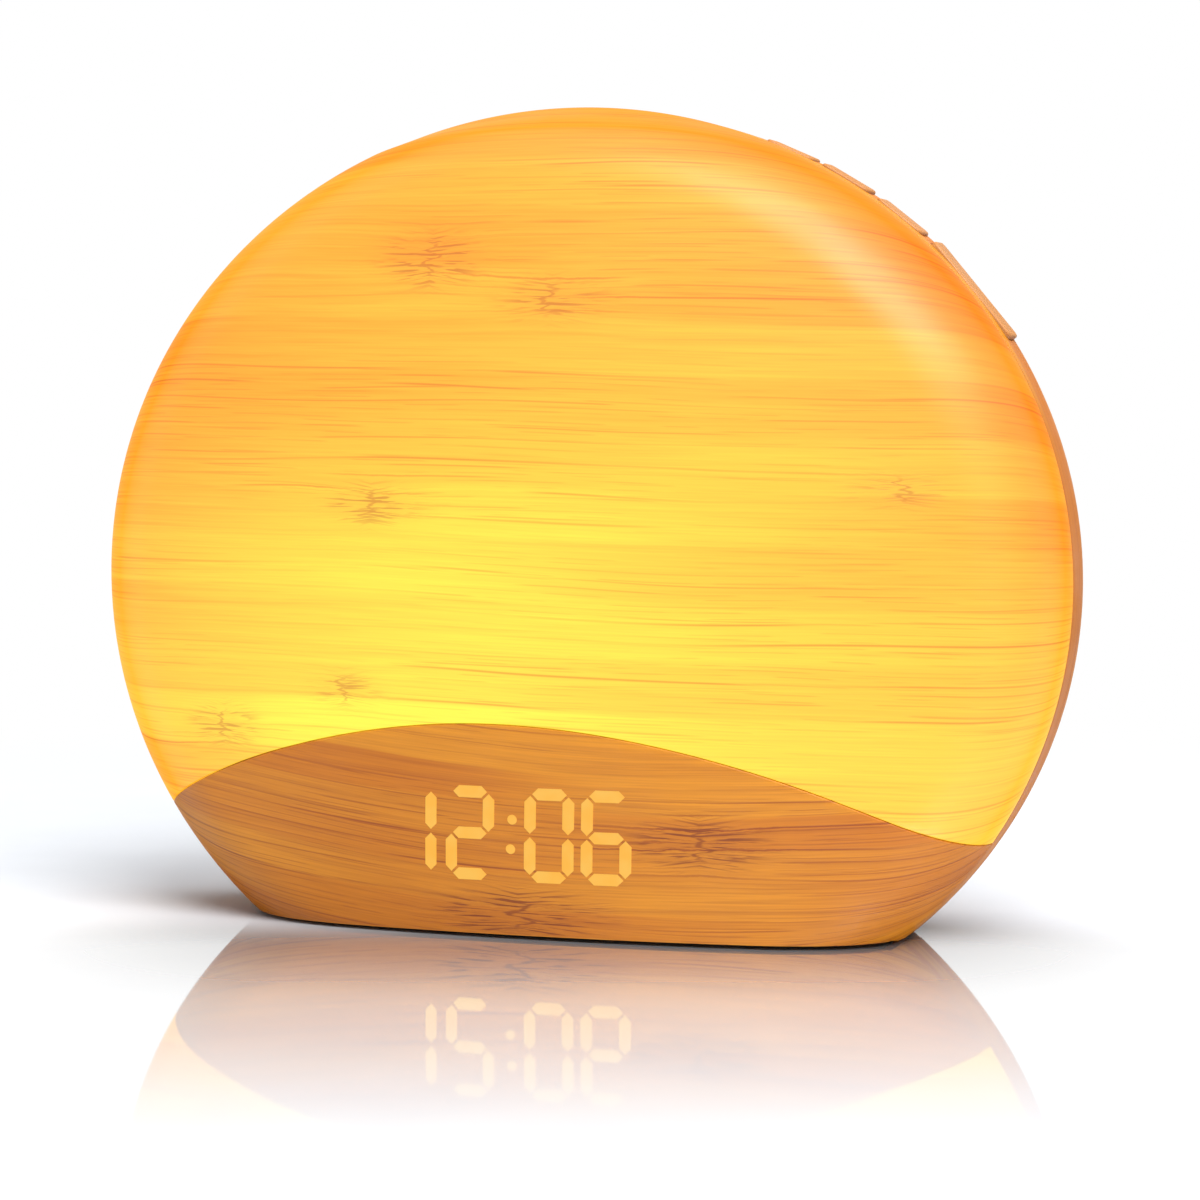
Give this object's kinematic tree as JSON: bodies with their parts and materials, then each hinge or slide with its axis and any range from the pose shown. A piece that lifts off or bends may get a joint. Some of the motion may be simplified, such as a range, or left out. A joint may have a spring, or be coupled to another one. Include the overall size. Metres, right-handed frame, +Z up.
{
  "type": "sunrise alarm clock",
  "caption": "Pebble-shaped sunrise alarm clock with lit bamboo-grain panel, wave-edged fascia, rim keys, rear speaker and backup-cell door.",
  "frame": {"origin": "middle of the footprint on the table, at the bottom centre of the bounding box", "axes": "+X to the viewer's right along the width, +Y to the rear through the thickness, +Z up; the lit face looks along -Y"},
  "size_m": [0.19, 0.06, 0.155],
  "materials": {
    "wood_film_shell": "printed bamboo-grain film over moulded shell, satin",
    "wood_film_key": "printed bamboo-grain film, satin",
    "opal_panel": "opal plastic with printed bamboo grain, lit from behind",
    "foot_rubber": "matt black silicone",
    "gasket_foam": "fine black foam",
    "white_plastic": "matt white, highly reflecting",
    "black_plastic": "matt black moulding",
    "bracket_plastic": "natural moulding",
    "socket_plastic": "ivory nylon",
    "white_board": "white solder mask",
    "green_board": "green solder mask",
    "flex_board": "amber polyimide",
    "led_resin": "yellow phosphor resin",
    "screw_steel": "zinc plated",
    "socket_steel": "bright nickel",
    "contact_metal": "spring brass",
    "capacitor_can": "sleeved aluminium can",
    "speaker_steel": "black coated steel",
    "speaker_paper": "pressed black paper",
    "ferrite": "dark ferrite",
    "copper_wire": "enamelled copper winding"
  },
  "bodies": {
    "clock": {"main_housing": "wood_film_shell", "rear_cover": "wood_film_shell", "diffuser_panel": "opal_panel", "front_foot_pad": "foot_rubber", "rear_foot_pad": "foot_rubber", "speaker_gasket": "gasket_foam", "light_box": "white_plastic", "display_module": "black_plastic", "control_chip": "black_plastic", "key_switches_right": "black_plastic", "key_switches_left": "black_plastic", "port_tongues": "black_plastic", "key_bracket_right": "bracket_plastic", "key_bracket_left": "bracket_plastic", "cable_sockets": "socket_plastic", "led_board": "white_board", "main_board": "green_board", "display_board": "green_board", "key_flex_board_right": "flex_board", "key_flex_board_left": "flex_board", "led_chips": "led_resin", "cover_screws": "screw_steel", "key_bracket_screws": "screw_steel", "light_box_screws": "screw_steel", "led_board_screws": "screw_steel", "display_screws": "screw_steel", "main_board_screws": "screw_steel", "speaker_screws": "screw_steel", "power_inlet": "socket_steel", "charging_outlet": "socket_steel", "coin_cell": "socket_steel", "cell_contacts": "contact_metal", "capacitors": "capacitor_can", "speaker_frame": "speaker_steel", "speaker_cone": "speaker_paper", "speaker_magnet": "ferrite", "voice_coil": "copper_wire"},
    "right_key_1": {"key_right_1": "wood_film_key"},
    "right_key_2": {"key_right_2": "wood_film_key"},
    "right_key_3": {"key_right_3": "wood_film_key"},
    "right_key_4": {"key_right_4": "wood_film_key"},
    "left_key_1": {"key_left_1": "wood_film_key"},
    "left_key_2": {"key_left_2": "wood_film_key"},
    "left_key_3": {"key_left_3": "wood_film_key"},
    "left_key_4": {"key_left_4": "wood_film_key"},
    "cell_door": {"battery_door": "wood_film_shell"}
  },
  "joints": [
    {"name": "right_key_1_press", "type": "slide", "parent": "clock", "child": "right_key_1", "axis": [-0.4019, 0, -0.9157], "range_m": [0, 0.0007], "stiffness_N_per_m": 300, "springref_m": -0.0004},
    {"name": "right_key_2_press", "type": "slide", "parent": "clock", "child": "right_key_2", "axis": [-0.511, 0, -0.8596], "range_m": [0, 0.0007], "stiffness_N_per_m": 300, "springref_m": -0.0004},
    {"name": "right_key_3_press", "type": "slide", "parent": "clock", "child": "right_key_3", "axis": [-0.6207, 0, -0.784], "range_m": [0, 0.0007], "stiffness_N_per_m": 300, "springref_m": -0.0004},
    {"name": "right_key_4_press", "type": "slide", "parent": "clock", "child": "right_key_4", "axis": [-0.7702, 0, -0.6377], "range_m": [0, 0.0007], "stiffness_N_per_m": 300, "springref_m": -0.0004},
    {"name": "left_key_1_press", "type": "slide", "parent": "clock", "child": "left_key_1", "axis": [0.4019, 0, -0.9157], "range_m": [0, 0.0007], "stiffness_N_per_m": 300, "springref_m": -0.0004},
    {"name": "left_key_2_press", "type": "slide", "parent": "clock", "child": "left_key_2", "axis": [0.511, 0, -0.8596], "range_m": [0, 0.0007], "stiffness_N_per_m": 300, "springref_m": -0.0004},
    {"name": "left_key_3_press", "type": "slide", "parent": "clock", "child": "left_key_3", "axis": [0.6207, 0, -0.784], "range_m": [0, 0.0007], "stiffness_N_per_m": 300, "springref_m": -0.0004},
    {"name": "left_key_4_press", "type": "slide", "parent": "clock", "child": "left_key_4", "axis": [0.7702, 0, -0.6377], "range_m": [0, 0.0007], "stiffness_N_per_m": 300, "springref_m": -0.0004},
    {"name": "cell_door_pull", "type": "slide", "parent": "clock", "child": "cell_door", "axis": [0, 1, 0], "range_m": [0, 0.012]}
  ]
}
